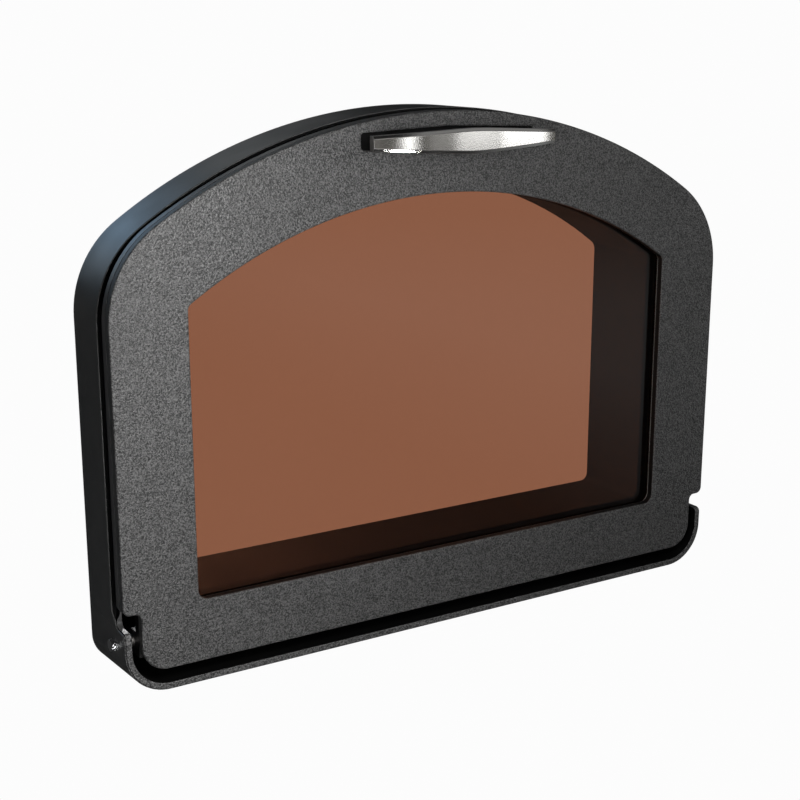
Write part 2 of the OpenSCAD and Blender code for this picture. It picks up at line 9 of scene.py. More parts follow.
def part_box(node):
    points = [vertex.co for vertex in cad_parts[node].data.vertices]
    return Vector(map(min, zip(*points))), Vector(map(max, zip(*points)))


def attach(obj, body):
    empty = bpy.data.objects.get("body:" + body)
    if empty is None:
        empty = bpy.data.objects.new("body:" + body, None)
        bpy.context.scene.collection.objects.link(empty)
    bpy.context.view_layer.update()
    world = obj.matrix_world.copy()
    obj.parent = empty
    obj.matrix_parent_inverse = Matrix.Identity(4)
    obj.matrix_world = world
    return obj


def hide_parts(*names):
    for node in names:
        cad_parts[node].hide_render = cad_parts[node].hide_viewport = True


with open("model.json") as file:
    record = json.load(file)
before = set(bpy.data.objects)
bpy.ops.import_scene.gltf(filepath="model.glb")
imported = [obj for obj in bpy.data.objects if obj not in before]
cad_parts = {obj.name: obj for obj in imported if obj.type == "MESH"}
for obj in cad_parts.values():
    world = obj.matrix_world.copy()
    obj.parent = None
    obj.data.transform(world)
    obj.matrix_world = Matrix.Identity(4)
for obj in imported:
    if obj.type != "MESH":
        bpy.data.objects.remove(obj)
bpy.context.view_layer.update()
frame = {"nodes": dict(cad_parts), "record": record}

nodes = frame["nodes"]
scene = bpy.context.scene

# places that everything else is measured from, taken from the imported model
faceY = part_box("door_plate")[0].y          # face of the closed door
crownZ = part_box("door_plate")[1].z         # top of the door's arch
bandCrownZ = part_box("surround_band")[1].z  # top of the band's arch
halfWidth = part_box("surround_band")[1].x
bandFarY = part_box("surround_band")[1].y
handleDrop = 0.0224                        # from the crown to the middle of the handle and its slot
handleZ = crownZ - handleDrop

# how finely the round parts of an outline are cut
arcSteps = {"foot": 8, "shoulder": 18, "arch": 96, "corner": 5, "fillet": 6, "doorFoot": 16, "edge": 4}


# Outlines in the front view: rows of x, z and the outward direction

def arcRows(centre, radius, start, stop, steps):
    # centre plus radius times the direction, at even angles from start to stop
    angle = np.radians(np.linspace(start, stop, steps + 1))
    way = np.stack([np.cos(angle), np.sin(angle)], 1)
    return np.hstack([np.array(centre) + radius * way, way])


def archRows(half, foot, crown, arch, shoulder, footRadius):
    # flat arch on top, tangent shoulders, straight sides and rounded feet; a shoulder's centre lies
    # arch minus shoulder from the arch's centre, so that the two arcs touch
    centreZ = crown - arch
    sx = half - shoulder
    sz = centreZ + math.sqrt((arch - shoulder) ** 2 - sx ** 2)
    turn = math.degrees(math.atan2(sz - centreZ, sx))
    foot = foot + footRadius
    footSteps, shoulderSteps = arcSteps["foot"], arcSteps["shoulder"]
    return np.vstack([
        arcRows((half - footRadius, foot), footRadius, -90, 0, footSteps),
        arcRows((sx, sz), shoulder, 0, turn, shoulderSteps),
        arcRows((0, centreZ), arch, turn, 180 - turn, arcSteps["arch"])[1:-1],
        arcRows((-sx, sz), shoulder, 180 - turn, 180, shoulderSteps),
        arcRows((footRadius - half, foot), footRadius, 180, 270, footSteps)])


def withoutFeet(rows):
    footRows = arcSteps["foot"] + 1
    return rows[footRows:-footRows]


def mirrorRows(rows):
    # the same rows on the left, in the order that keeps the loop going round
    flipped = rows[::-1].copy()
    flipped[:, [0, 2]] *= -1
    return flipped


def roundedRows(corners, radius):
    # a polygon, given anticlockwise, with each corner rounded
    corners = np.array(corners, float)
    rows = []
    for i, corner in enumerate(corners):
        before = corners[i - 1] - corner
        after = corners[(i + 1) % len(corners)] - corner
        before /= np.linalg.norm(before)
        after /= np.linalg.norm(after)
        bend = math.acos(np.clip(-before @ after, -1, 1))
        inward = (before + after) / np.linalg.norm(before + after)
        centre = corner + inward * radius / math.cos(bend / 2)
        start = math.degrees(math.atan2(before[0], -before[1]))
        rows.append(arcRows(centre, radius, start, start + math.degrees(bend), arcSteps["corner"]))
    return np.vstack(rows)


def holeRows(rows):
    # an outline as the edge of a hole: the other way round, its outward direction into the hole
    turned = rows[::-1].copy()
    turned[:, 2:] *= -1
    return turned


# Meshes

def addPiece(name, points, faces, body, material, normals, replaced, inner=None, innerFaces=()):
    # inner is a second material, for the faces listed in innerFaces
    mesh = bpy.data.meshes.new(name)
    mesh.from_pydata([tuple(p) for p in points], [], [tuple(int(i) for i in f) for f in faces])
    for i in innerFaces:
        mesh.polygons[i].material_index = 1
    mesh.validate()
    mesh.polygons.foreach_set("use_smooth", [True] * len(mesh.polygons))
    if normals is not None:
        mesh.normals_split_custom_set_from_vertices([tuple(n) for n in normals])
    mesh.materials.append(material)
    if inner:
        mesh.materials.append(inner)
    piece = bpy.data.objects.new(name, mesh)
    scene.collection.objects.link(piece)
    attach(piece, body)
    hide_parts(*replaced)
    return piece


def gridFaces(rings, count, closed=False, flip=False):
    # quads over rings of count points each, every ring closed; closed joins the last ring to the first
    first = np.arange(rings if closed else rings - 1)[:, None] * count
    second = (first + count) % (rings * count)
    i = np.arange(count)
    j = (i + 1) % count
    quads = np.stack([first + i, first + j, second + j, second + i], 2).reshape(-1, 4)
    return quads[:, ::-1] if flip else quads


def roundedSlab(loops, near, far, edge):
    # a plate between two depths whose every edge is a quarter round: at angle a the outline is drawn in
    # by edge x (1 - sin a), and lies edge x (1 - cos a) from the face; walls lists the faces in its holes
    points, normals, faces, walls, starts = [], [], [], [], [0]
    edgeSteps = arcSteps["edge"]
    angles = np.radians(np.linspace(0, 90, edgeSteps + 1))
    depths = np.concatenate([near + edge * (1 - np.cos(angles)), far - edge * (1 - np.cos(angles[::-1]))])
    facing = np.concatenate([-np.cos(angles), np.cos(angles[::-1])])
    reach = np.sin(np.concatenate([angles, angles[::-1]]))
    rings = len(depths)
    for rows in loops:
        count = len(rows)
        offset = rows[None, :, :2] - rows[None, :, 2:] * (edge * (1 - reach))[:, None, None]
        side = rows[None, :, 2:] * reach[:, None, None]
        y = np.broadcast_to((faceY + depths)[:, None], (rings, count))
        turned = np.broadcast_to(facing[:, None], (rings, count))
        points.append(np.stack([offset[..., 0], y, offset[..., 1]], 2).reshape(-1, 3))
        normals.append(np.stack([side[..., 0], turned, side[..., 1]], 2).reshape(-1, 3))
        if rows is not loops[0]:
            walls += range(len(faces) + edgeSteps * count, len(faces) + (edgeSteps + 1) * count)
        faces += (gridFaces(rings, count, flip=True) + starts[-1]).tolist()
        starts.append(starts[-1] + rings * count)
    points = np.vstack(points)
    for atBack in (False, True):
        spans = [(start + atBack * (rings - 1) * len(rows), len(rows)) for start, rows in zip(starts, loops)]
        index = np.concatenate([np.arange(start, start + count) for start, count in spans])
        flat = [[Vector((x, z, 0)) for x, y, z in points[start:start + count]] for start, count in spans]
        for triangle in tessellate_polygon(flat):
            a, b, c = index[list(triangle)]
            area = np.cross(points[b] - points[a], points[c] - points[a])[1]
            faces.append((a, c, b) if (area > 0) != atBack else (a, b, c))
    return points, faces, np.vstack(normals), walls


# Materials

noiseSpan = (0.3, 0.7)                     # where nearly all values of a cloud or a grain lie


def newMaterial(name):
    material = bpy.data.materials.new(name)
    material.use_nodes = True
    tree = material.node_tree
    shader = tree.nodes["Principled BSDF"]
    return material, tree, shader


def addNode(tree, kind, **values):
    node = tree.nodes.new(kind)
    for key, value in values.items():
        if key in node.inputs:
            node.inputs[key].default_value = value
        else:
            setattr(node, key, value)
    return node


def addTexture(tree, place, kind, **values):
    node = addNode(tree, kind, **values)
    tree.links.new(place, node.inputs["Vector"])
    return node


def colourRamp(tree, factor, *stops):
    ramp = tree.nodes.new("ShaderNodeValToRGB")
    for element, (position, colour) in zip(ramp.color_ramp.elements, stops):
        element.position = position
        element.color = (*colour, 1)
    tree.links.new(factor, ramp.inputs["Fac"])
    return ramp.outputs["Color"]


def scaled(colour, share):
    return [value * share for value in colour]


def mapRange(tree, value, low, high, fromLow, fromHigh):
    node = addNode(tree, "ShaderNodeMapRange")
    node.inputs["From Min"].default_value = fromLow
    node.inputs["From Max"].default_value = fromHigh
    node.inputs["To Min"].default_value = low
    node.inputs["To Max"].default_value = high
    tree.links.new(value, node.inputs["Value"])
    return node.outputs["Result"]


def addBump(tree, height, strength, distance, under=None):
    # strength is a number or a node's output
    bump = addNode(tree, "ShaderNodeBump", Distance=distance)
    if isinstance(strength, float):
        bump.inputs["Strength"].default_value = strength
    else:
        tree.links.new(strength, bump.inputs["Strength"])
    tree.links.new(height, bump.inputs["Height"])
    if under is not None:
        tree.links.new(under, bump.inputs["Normal"])
    return bump.outputs["Normal"]


paintValues = {
    "grainScale": 1040, "grainDepth": 0.0004, "pebbleScale": 620, "pebbleDepth": 0.0008, "strength": 0.8,
    "dark": (0.011, 0.011, 0.0112), "light": (0.104, 0.103, 0.102), "darkAt": 0.38, "lightAt": 0.64,
    "evenAt": 0.51, "cloudScale": 14.0, "roughness": (0.42, 0.56), "smoothFrom": 0.0012, "smoothTo": 0.003,
}


def paintMaterial(name, dim=1.0, sheen=0.0, smooth=0.0, shine=0.5):
    # fine textured powder coat: rounded pebbles with smaller grain on them; dim scales the colour, sheen
    # lowers the roughness, shine is the strength of reflections, and smooth is the share taken off the
    # texture behind the front faces, where the colour goes to evenAt
    values = paintValues
    material, tree, shader = newMaterial(name)
    place = addNode(tree, "ShaderNodeTexCoord").outputs["Object"]
    grain = addTexture(tree, place, "ShaderNodeTexNoise", Scale=values["grainScale"], Detail=1.0)
    pebble = addTexture(tree, place, "ShaderNodeTexVoronoi", feature="SMOOTH_F1",
                        Scale=values["pebbleScale"])
    cloud = addTexture(tree, place, "ShaderNodeTexNoise", Scale=values["cloudScale"], Detail=4.0)
    parts = addNode(tree, "ShaderNodeSeparateXYZ")
    tree.links.new(place, parts.inputs[0])
    depth = parts.outputs["Y"]
    front = (faceY + values["smoothFrom"], faceY + values["smoothTo"])
    even = addNode(tree, "ShaderNodeMix", data_type="FLOAT")
    even.inputs["B"].default_value = values["evenAt"]
    tree.links.new(mapRange(tree, depth, 0.0, smooth, *front), even.inputs["Factor"])
    tree.links.new(grain.outputs["Fac"], even.inputs["A"])
    shade = colourRamp(tree, even.outputs["Result"], (values["darkAt"], scaled(values["dark"], dim)),
                       (values["lightAt"], scaled(values["light"], dim)))
    tree.links.new(shade, shader.inputs["Base Color"])
    shader.inputs["Specular IOR Level"].default_value = shine
    low, high = (value - sheen for value in values["roughness"])
    tree.links.new(mapRange(tree, cloud.outputs["Fac"], low, high, *noiseSpan), shader.inputs["Roughness"])
    strength = mapRange(tree, depth, values["strength"], values["strength"] * (1 - smooth), *front)
    under = addBump(tree, pebble.outputs["Distance"], strength, values["pebbleDepth"])
    tree.links.new(addBump(tree, grain.outputs["Fac"], strength, values["grainDepth"], under),
                   shader.inputs["Normal"])
    return material


steelValues = {"cloudScale": 60.0, "darkest": 0.97, "smoothest": 0.85, "roughest": 1.2}


def steelMaterial(name, colour, roughness, grainScale, strength, depth=0.00008):
    # bare or plated steel: a fine grain in height and roughness, and a faint cloud in its colour
    material, tree, shader = newMaterial(name)
    place = addNode(tree, "ShaderNodeTexCoord").outputs["Object"]
    grain = addTexture(tree, place, "ShaderNodeTexNoise", Scale=grainScale, Detail=2.0)
    cloud = addTexture(tree, place, "ShaderNodeTexNoise", Scale=steelValues["cloudScale"], Detail=3.0)
    shader.inputs["Metallic"].default_value = 1.0
    low, high = noiseSpan
    tint = colourRamp(tree, cloud.outputs["Fac"], (low, scaled(colour, steelValues["darkest"])),
                      (high, colour))
    tree.links.new(tint, shader.inputs["Base Color"])
    tree.links.new(mapRange(tree, grain.outputs["Fac"], roughness * steelValues["smoothest"],
                            roughness * steelValues["roughest"], low, high), shader.inputs["Roughness"])
    tree.links.new(addBump(tree, grain.outputs["Fac"], strength, depth), shader.inputs["Normal"])
    return material


glassValues = {
    "tint": (0.268, 0.108, 0.0595), "deepest": 0.99, "cloudScale": 6.0, "roughness": 0.0, "ior": 1.5,
}


def glassMaterial():
    # clear tinted glass with a hardly visible cloud in its tint
    material, tree, shader = newMaterial("tinted_glass")
    place = addNode(tree, "ShaderNodeTexCoord").outputs["Object"]
    cloud = addTexture(tree, place, "ShaderNodeTexNoise", Scale=glassValues["cloudScale"], Detail=1.0)
    tint = glassValues["tint"]
    low, high = noiseSpan
    shade = colourRamp(tree, cloud.outputs["Fac"], (low, scaled(tint, glassValues["deepest"])), (high, tint))
    tree.links.new(shade, shader.inputs["Base Color"])
    shader.inputs["Transmission Weight"].default_value = 1.0
    shader.inputs["Roughness"].default_value = glassValues["roughness"]
    shader.inputs["IOR"].default_value = glassValues["ior"]
    return material


fibreValues = {
    "roughness": 0.9, "braidScale": 1900.0, "braidShare": 0.35, "braidDarkAt": 0.25, "braidStrength": 0.7,
    "braidDepth": 0.0012, "darkAt": 0.35, "lightAt": 0.65, "strength": 0.6, "depth": 0.0003,
}


def braidMaterial(name, dark, light):
    # two sets of strands that cross: height is the root of |sin(along + round) x sin(along - round)|,
    # with along and round counted in strands, and fibres on top
    values = fibreValues
    material, tree, shader = newMaterial(name)
    where = addNode(tree, "ShaderNodeTexCoord")
    parts = addNode(tree, "ShaderNodeSeparateXYZ")
    tree.links.new(where.outputs["UV"], parts.inputs[0])

    def sums(operation, first, second):
        node = addNode(tree, "ShaderNodeMath", operation=operation)
        for socket, value in zip(node.inputs, (first, second)):
            if isinstance(value, float):
                socket.default_value = value
            else:
                tree.links.new(value, socket)
        return node.outputs[0]

    waves = []
    for operation in ("ADD", "SUBTRACT"):
        phase = sums("MULTIPLY", sums(operation, parts.outputs["X"], parts.outputs["Y"]), 2 * math.pi)
        waves.append(sums("SINE", phase, 0.0))
    weave = sums("ABSOLUTE", sums("MULTIPLY", waves[0], waves[1]), 0.0)
    fibre = addTexture(tree, where.outputs["Object"], "ShaderNodeTexNoise", Scale=values["braidScale"],
                       Detail=3.0)
    fuzz = sums("MULTIPLY", fibre.outputs["Fac"], values["braidShare"])
    height = sums("ADD", sums("POWER", weave, 0.5), fuzz)
    # the colour follows the height: painted shade in the grooves between strands, with the fibres' random
    # tone on top
    tree.links.new(colourRamp(tree, height, (values["braidDarkAt"], dark), (1.0, light)),
                   shader.inputs["Base Color"])
    shader.inputs["Roughness"].default_value = values["roughness"]
    tree.links.new(addBump(tree, height, values["braidStrength"], values["braidDepth"]),
                   shader.inputs["Normal"])
    return material


def clothMaterial(name, dark, light, scale):
    # loose fibres without a weave
    values = fibreValues
    material, tree, shader = newMaterial(name)
    place = addNode(tree, "ShaderNodeTexCoord").outputs["Object"]
    fibre = addTexture(tree, place, "ShaderNodeTexNoise", Scale=scale, Detail=4.0, Roughness=0.7)
    shade = colourRamp(tree, fibre.outputs["Fac"], (values["darkAt"], dark), (values["lightAt"], light))
    tree.links.new(shade, shader.inputs["Base Color"])
    shader.inputs["Roughness"].default_value = values["roughness"]
    tree.links.new(addBump(tree, fibre.outputs["Fac"], values["strength"], values["depth"]),
                   shader.inputs["Normal"])
    return material


paints = {
    "face_paint": {"smooth": 0.93},
    # frame_paint is a lighter copy of the face's paint: painted light on the band, the tray's lip and the
    # other painted parts
    "frame_paint": {"dim": 1.2, "sheen": 0.10, "smooth": 0.93},
    # a near-black copy of the paint: painted shade on the throat, its front flange and the hinge lugs
    "tunnel_painted_shade": {"dim": 0.08, "smooth": 1.0, "shine": 0.35},
    # a near-black copy of the paint: painted shade on the band's ledge and inner face, the walls of the
    # door's window and slot, the slot's backing plate and the tray's back plate
    "recess_painted_shade": {"dim": 0.06, "smooth": 1.0, "shine": 0.1},
}
steels = {
    "stainless": {"colour": (0.76, 0.75, 0.73), "roughness": 0.10, "grainScale": 1300, "strength": 0.38},
    # a dark copy of the steel: painted shade on the handle's end caps and rounded edges and on the pivot
    # spacers
    "painted_shade_steel": {"colour": (0.22, 0.21, 0.20), "roughness": 0.45, "grainScale": 1300, "strength": 0.3},
    "zinc": {"colour": (0.80, 0.80, 0.81), "roughness": 0.16, "grainScale": 1800, "strength": 0.2},
    "bolt_zinc": {"colour": (0.86, 0.86, 0.87), "roughness": 0.12, "grainScale": 520, "strength": 1.0,
                  "depth": 0.0012},
}
cloths = {
    "rope_fibre": {"dark": (0.42, 0.40, 0.36), "light": (0.68, 0.66, 0.60), "scale": 1800},
    "tape_fibre": {"dark": (0.50, 0.49, 0.46), "light": (0.72, 0.71, 0.67), "scale": 1400},
}
braids = {"rope_braid": {"dark": (0.30, 0.28, 0.25), "light": (0.70, 0.68, 0.62)}}

paint = {name: paintMaterial(name, **values) for name, values in paints.items()}
steel = {name: steelMaterial(name, **values) for name, values in steels.items()}
cloth = {name: clothMaterial(name, **values) for name, values in cloths.items()}
braid = {name: braidMaterial(name, **values) for name, values in braids.items()}
slotMaterials = {
    "painted_steel": paint["frame_paint"], "stainless_steel": steel["stainless"],
    "zinc_steel": steel["zinc"], "tinted_glass": glassMaterial(),
    "glass_fibre_rope": cloth["rope_fibre"], "ceramic_tape": cloth["tape_fibre"],
}
# parts that sit in shade take the near-black paints and the dark steel: painted shade
ownMaterials = {
    "throat_sleeve": paint["tunnel_painted_shade"], "front_flange": paint["tunnel_painted_shade"],
    "slot_plate": paint["recess_painted_shade"], "tray_back_plate": paint["recess_painted_shade"],
    "hinge_lug_left": paint["tunnel_painted_shade"], "hinge_lug_right": paint["tunnel_painted_shade"],
    "pivot_bolts": steel["bolt_zinc"], "pivot_spacers": steel["painted_shade_steel"],
}
slotOf = {part["node"]: part["material_slot"] for part in frame["record"]["subparts"]}
for nodeName, thing in nodes.items():
    thing.data.materials.clear()
    thing.data.materials.append(ownMaterials.get(nodeName, slotMaterials[slotOf[nodeName]]))
print("materials done")


# Door plate

door = {
    "thickness": 0.008, "edge": 0.0014, "arch": 0.476, "shoulder": 0.088,
    "sideInset": 0.0146, "step": 0.069, "stepCorner": 0.006, "stepFillet": 0.005,
    "foot": 0.018, "footRadius": 0.022,
    "windowSide": 0.0637, "windowCrown": 0.0668, "windowSill": 0.070, "windowArch": 0.4194,
    "windowShoulder": 0.006, "windowFoot": 0.0085,
    "slotHalf": 0.0844, "slotLow": 0.00675, "slotPeak": 0.0034, "slotCorner": 0.003,
}


def doorOuterRows():
    # the arch over the full width, with a step in at each side above the tray
    narrow = halfWidth - door["sideInset"]
    footRadius, fillet, corner = door["footRadius"], door["stepFillet"], door["stepCorner"]
    inner = arcRows((narrow + fillet, door["step"] - fillet), fillet, 180, 90, arcSteps["fillet"])
    inner[:, 2:] *= -1
    right = np.vstack([
        arcRows((narrow - footRadius, door["foot"] + footRadius), footRadius, -90, 0, arcSteps["doorFoot"]),
        inner,
        arcRows((halfWidth - corner, door["step"] + corner), corner, -90, 0, arcSteps["foot"])])
    arch = archRows(halfWidth, door["step"], crownZ, door["arch"], door["shoulder"], corner)
    return np.vstack([right, withoutFeet(arch), mirrorRows(right)])


def windowRows():
    return archRows(halfWidth - door["windowSide"], door["windowSill"], crownZ - door["windowCrown"],
                    door["windowArch"], door["windowShoulder"], door["windowFoot"])


def slotRows():
    # six corners, higher in the middle than at the ends
    end, low = door["slotHalf"], door["slotLow"]
    peak = low + door["slotPeak"]
    corners = [(end, -low), (end, low), (0, peak), (-end, low), (-end, -low), (0, -peak)]
    return roundedRows([(x, handleZ + z) for x, z in corners], door["slotCorner"])


def doorPiece():
    loops = [doorOuterRows(), holeRows(windowRows()), holeRows(slotRows())]
    points, faces, normals, walls = roundedSlab(loops, 0, door["thickness"], door["edge"])
    # the walls of the window and the slot take the near-black paint: painted shade
    return addPiece("door_plate_shell", points, faces, "door", paint["face_paint"], normals,
                    ["door_plate"], paint["recess_painted_shade"], walls)


doorPiece()
print("door plate done")


# Arched band with its tray

band = {
    "thickness": 0.006, "setback": 0.0195, "edge": 0.0008, "trayTop": 0.054, "arch": 0.457,
    "cornerFront": 0.0375, "cornerBack": 0.027, "nose": 0.0045, "heel": 0.005,
    "ledge": 0.0042, "ledgeDepth": 0.0075, "ledgeFade": 0.1, "ledgeStart": 0.006, "crease": 0.0001,
    "cornerSteps": 16, "noseSteps": 6, "heelSteps": 5,
    # the ledge and the inner face take the near-black paint: painted shade
    "paintedShadeSteps": (0, 1, 2, 3, 18),           # ledge and inner face, as counted round a section
}


def stationRows(count, **values):
    # one row per place round the band: corner flag, normal angle, x, front height, back height, front
    # depth, the front edge's outward direction along the path and in depth, and the share of the ledge
    rows = np.zeros((count, 9))
    columns = ("corner", "angle", "x", "front", "back", "depth", "along", "out", "share")
    for column, key in enumerate(columns):
        rows[:, column] = values.get(key, 0)
    return rows


def bandStations():
    # right corner, the tray's step as two quarter rounds, nose and heel, then side and arch; the left
    # is the right mirrored
    nose, heel, top, setback = band["nose"], band["heel"], band["trayTop"], band["setback"]
    fade, cornerSteps = band["ledgeFade"], band["cornerSteps"]
    corner = stationRows(cornerSteps + 1, corner=1, angle=np.linspace(-90, 0, cornerSteps + 1), out=-1,
                         share=fade)
    a = np.linspace(0, math.pi / 2, band["noseSteps"] + 1)
    b = np.linspace(0, math.pi / 2, band["heelSteps"] + 1)
    height = np.concatenate([top - nose + nose * np.sin(a), top + heel - heel * np.cos(b)])
    step = stationRows(len(height), x=halfWidth, front=height, share=fade,
                       back=np.linspace(top - nose, top + heel, len(height)),
                       depth=np.concatenate([nose - nose * np.cos(a), setback - heel + heel * np.sin(b)]),
                       along=np.concatenate([np.sin(a), np.cos(b)]),
                       out=np.concatenate([-np.cos(a), -np.sin(b)]))
    ledgeZ = top + heel + band["ledgeStart"]
    foot = stationRows(1, x=halfWidth, front=ledgeZ, back=ledgeZ, depth=setback, out=-1, share=1)
    rows = archRows(halfWidth, 0, bandCrownZ, band["arch"], door["shoulder"], band["cornerBack"])
    x, z, nx, nz = withoutFeet(rows).T
    arch = stationRows(len(x), angle=np.degrees(np.arctan2(nz, nx)), x=x, front=z, back=z, depth=setback,
                       out=-1, share=1)
    right = np.vstack([corner, step, foot])
    left = right[::-1] * [-1, -1, -1, 1, 1, 1, -1, 1, 1]   # corner, angle, x and along change sides
    left[:, 1] += 180
    return np.vstack([right, arch, left])


def bandSections():
    # points and normals of the band's closed cross-section at every station: a place is the outer
    # outline at its depth, in by inset along the outline's normal, and back by recess from the edge
    flag, angle, x, frontZ, backZ, frontDepth, along, out, share = bandStations().T
    way = np.stack([np.cos(np.radians(angle)), np.sin(np.radians(angle))], 1)
    path = np.stack([-way[:, 1], way[:, 0]], 1) * along[:, None]
    depthAll = bandFarY - faceY
    edge, thick, crease = band["edge"], band["thickness"], band["crease"]
    zeros = np.zeros(len(x))

    def skin(atBack, inset, recess, outward, forward):
        depth = zeros + (depthAll - recess if atBack else frontDepth - out * recess)
        radius = band["cornerFront"] + (band["cornerBack"] - band["cornerFront"]) * depth / depthAll
        rounded = np.stack([flag * (halfWidth - radius), radius], 1) + radius[:, None] * way
        straight = np.stack([x, backZ if atBack else frontZ], 1)
        place = np.where(flag[:, None] != 0, rounded, straight) - way * np.reshape(inset, (-1, 1))
        normal = way * outward
        if not atBack:
            place = place - path * np.reshape(recess, (-1, 1))
            normal = normal + path * forward
        facing = zeros + forward if atBack else out * forward
        return (np.stack([place[:, 0], faceY + depth, place[:, 1]], 1),
                np.stack([normal[:, 0], facing, normal[:, 1]], 1))

    # the ledge: a wall facing outward and a floor facing the front, in from the outer front edge
    wall = edge + (band["ledge"] - edge) * share
    floor = band["ledgeDepth"] * share
    ring = [skin(False, wall + crease, 0, 0, 1), skin(False, wall, crease, 1, 0),
            skin(False, wall, floor - crease, 1, 0), skin(False, wall - crease, floor, 0, 1)]
    quarter = np.radians(np.linspace(0, 90, arcSteps["edge"] + 1))
    for inward, atBack in ((0, 0), (0, 1), (1, 1), (1, 0)):
        face = -1 if inward else 1
        under = 0 if atBack or inward else floor
        angles = quarter if inward == atBack else quarter[::-1]
        for a in angles:
            inset = thick * inward + face * edge * (1 - math.sin(a))
            recess = edge * (1 - math.cos(a)) + under
            ring.append(skin(atBack, inset, recess, face * math.sin(a), math.cos(a)))
    points, normals = (np.stack(part, 1) for part in zip(*ring))
    return points, normals


def bandPiece():
    points, normals = bandSections()
    stations, around = points.shape[:2]
    faces = gridFaces(stations, around, closed=True)
    # the ledge and the inner face get the near-black paint: painted shade
    paintedShadeFaces = [i for i in range(len(faces)) if i % around in band["paintedShadeSteps"]]
    return addPiece("surround_band_shell", points.reshape(-1, 3), faces, "frame",
                    paint["frame_paint"], normals.reshape(-1, 3), ["surround_band"], paint["recess_painted_shade"],
                    paintedShadeFaces)


bandPiece()
print("band done")


# Rope behind the door, braided

rope = {
    "side": 0.0297, "crown": 0.0262, "sill": 0.026, "shoulder": 0.054, "footRadius": 0.022,
    "radius": 0.0055, "sides": 24, "step": 0.004, "strand": 0.0065, "gap": 0.0003,
}


def ropePath():
    # even steps along the rope's own arch, with their outward direction
    rows = archRows(halfWidth - door["windowSide"] + rope["side"], door["windowSill"] - rope["sill"],
                    crownZ - door["windowCrown"] + rope["crown"], door["windowArch"] + rope["crown"],
                    rope["shoulder"], rope["footRadius"])
    rows = np.vstack([rows, rows[:1]])
    length = np.append(0, np.cumsum(np.linalg.norm(np.diff(rows[:, :2], axis=0), axis=1)))
    count = int(length[-1] / rope["step"])
    at = np.linspace(0, length[-1], count + 1)
    path = np.stack([np.interp(at, length, rows[:, k]) for k in range(4)], 1)
    path[:, 2:] /= np.linalg.norm(path[:, 2:], axis=1)[:, None]
    return at, path


def ropePiece():
    # a round section carried along the path: outward by radius x cos turn, in depth by radius x sin turn
    at, path = ropePath()
    radius, sides = rope["radius"], rope["sides"]
    turn = np.linspace(0, 2 * math.pi, sides + 1)
    depth = (door["thickness"] + band["setback"] - rope["gap"]) / 2
    out = path[:, None, :2] + radius * np.cos(turn)[None, :, None] * path[:, None, 2:]
    y = np.broadcast_to(faceY + depth + radius * np.sin(turn), out.shape[:2])
    points = np.stack([out[..., 0], y, out[..., 1]], 2)
    i, k = np.meshgrid(np.arange(len(at) - 1), np.arange(sides), indexing="ij")
    alongIndex = np.stack([i, i, i + 1, i + 1], 2).reshape(-1, 4)
    turnIndex = np.stack([k, k + 1, k + 1, k], 2).reshape(-1, 4)
    piece = addPiece("rope_seal_braid", points.reshape(-1, 3), alongIndex * (sides + 1) + turnIndex, "door",
                     braid["rope_braid"], None, ["rope_seal"])
    layer = piece.data.uv_layers.new(name="UVMap")
    strands = np.stack([at[alongIndex], turn[turnIndex] * radius], 2) / rope["strand"]
    layer.data.foreach_set("uv", strands.ravel())
    return piece


ropePiece()
print("rope done")


# Handle

handle = {
    "half": 0.088, "height": 0.0205, "endHeight": 0.012, "thickness": 0.006, "chamfer": 0.0025,
    "chamferDepth": 0.0018, "standoff": 0.038, "bow": 0.0125, "stations": 96, "peakSoftness": 0.14,
    "round": 0.0003, "roundSegments": 3, "roundFrom": 25,
}


def handlePiece():
    # front and rear are arcs over the bar's length, one thickness apart, with the radius that lets a
    # chord of the bar's length bow out by bow; the edges taper almost straight from a soft peak, along
    # a hyperbola scaled to reach 1 at the ends
    half, bow, soft = handle["half"], handle["bow"], handle["peakSoftness"]
    bowRadius = (half ** 2 + bow ** 2) / (2 * bow)
    centre = bowRadius - handle["standoff"]
    x = np.linspace(-half, half, handle["stations"] + 1)
    taper = (np.sqrt((x / half) ** 2 + soft ** 2) - soft) / (math.sqrt(1 + soft ** 2) - soft)
    high = handle["height"] / 2 - (handle["height"] - handle["endHeight"]) / 2 * taper
    front = centre - np.sqrt(bowRadius ** 2 - x ** 2)
    rear = centre - np.sqrt((bowRadius - handle["thickness"]) ** 2 - x ** 2)
    bevel = front + handle["chamferDepth"]
    cut = high - handle["chamfer"]
    corners = [(front, cut), (bevel, high), (rear, high), (rear, -high), (bevel, -high), (front, -cut)]
    points = np.stack([np.stack([x, faceY + y, handleZ + z], 1) for y, z in corners], 1)
    rings, count = points.shape[:2]
    cap = np.arange(count)
    faces = gridFaces(rings, count, flip=True).tolist()
    faces += [cap.tolist(), ((rings - 1) * count + cap[::-1]).tolist()]
    # the end caps take the dark steel: painted shade on the bar's ends
    piece = addPiece("handle_bar_shell", points.reshape(-1, 3), faces, "door",
                     steel["stainless"], None, ["handle_bar"], steel["painted_shade_steel"],
                     [len(faces) - 2, len(faces) - 1])
    softEdge = piece.modifiers.new("edges", "BEVEL")
    softEdge.width = handle["round"]
    softEdge.segments = handle["roundSegments"]
    softEdge.limit_method = "ANGLE"
    softEdge.angle_limit = math.radians(handle["roundFrom"])
    softEdge.harden_normals = True
    # the rounded edges take the dark steel too: painted shade
    softEdge.material = 1
    return piece


handlePiece()
print("handle done")


# Floor, lights and camera

